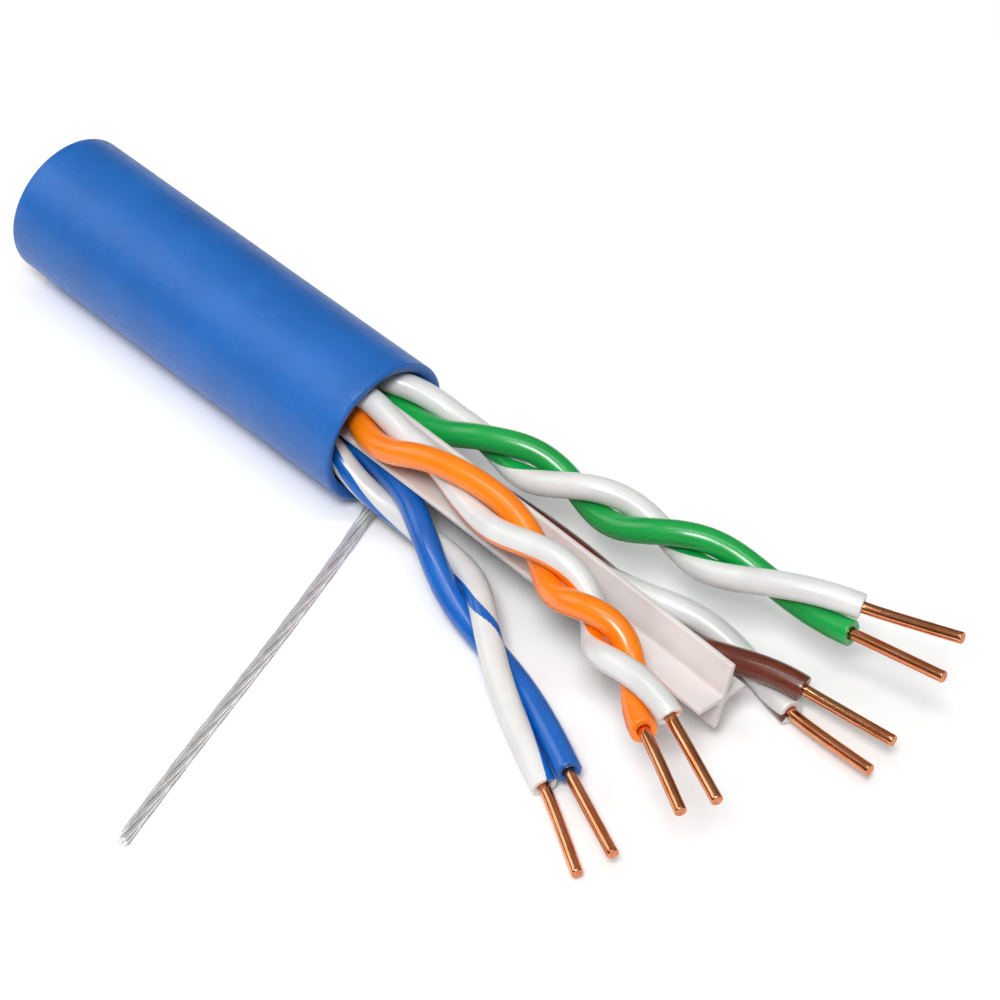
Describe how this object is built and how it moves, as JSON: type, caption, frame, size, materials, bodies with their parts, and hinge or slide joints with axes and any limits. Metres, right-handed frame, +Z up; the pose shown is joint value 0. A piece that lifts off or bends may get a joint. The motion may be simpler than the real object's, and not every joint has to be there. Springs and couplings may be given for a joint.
{
  "type": "stripped cable end",
  "caption": "Short length of round shielded network cable, its jacket stripped back to fan out twisted pairs, a cross separator, bare copper tips and a stranded drain wire.",
  "frame": {"origin": "centre of the jacket's square-cut back face, on the cable's axis", "axes": "+X along the cable towards its stripped end, +Z up from the table it lies on, -Y towards the side on which the drain wire leaves"},
  "size_m": [0.054, 0.0316, 0.0076],
  "materials": {
    "jacket": "satin extruded PVC with a fine grain",
    "foil": "thin bright foil",
    "separator": "satin natural polyethylene",
    "blue": "smooth polyethylene",
    "orange": "smooth polyethylene",
    "green": "smooth polyethylene",
    "brown": "smooth polyethylene",
    "white": "smooth polyethylene with a coloured stripe",
    "copper": "bright drawn copper",
    "tinned": "bright tinned copper"
  },
  "bodies": {
    "root": {"jacket": "jacket", "foil_shield": "foil", "cross_separator": "separator", "blue_insulation": "blue", "blue_conductor": "copper", "white_blue_insulation": "white", "white_blue_conductor": "copper", "orange_insulation": "orange", "orange_conductor": "copper", "white_orange_insulation": "white", "white_orange_conductor": "copper", "green_insulation": "green", "green_conductor": "copper", "white_green_insulation": "white", "white_green_conductor": "copper", "brown_insulation": "brown", "brown_conductor": "copper", "white_brown_insulation": "white", "white_brown_conductor": "copper", "drain_strand_1": "tinned", "drain_strand_2": "tinned", "drain_strand_3": "tinned", "drain_strand_4": "tinned", "drain_strand_5": "tinned", "drain_strand_6": "tinned", "drain_strand_7": "tinned"}
  },
  "joints": []
}
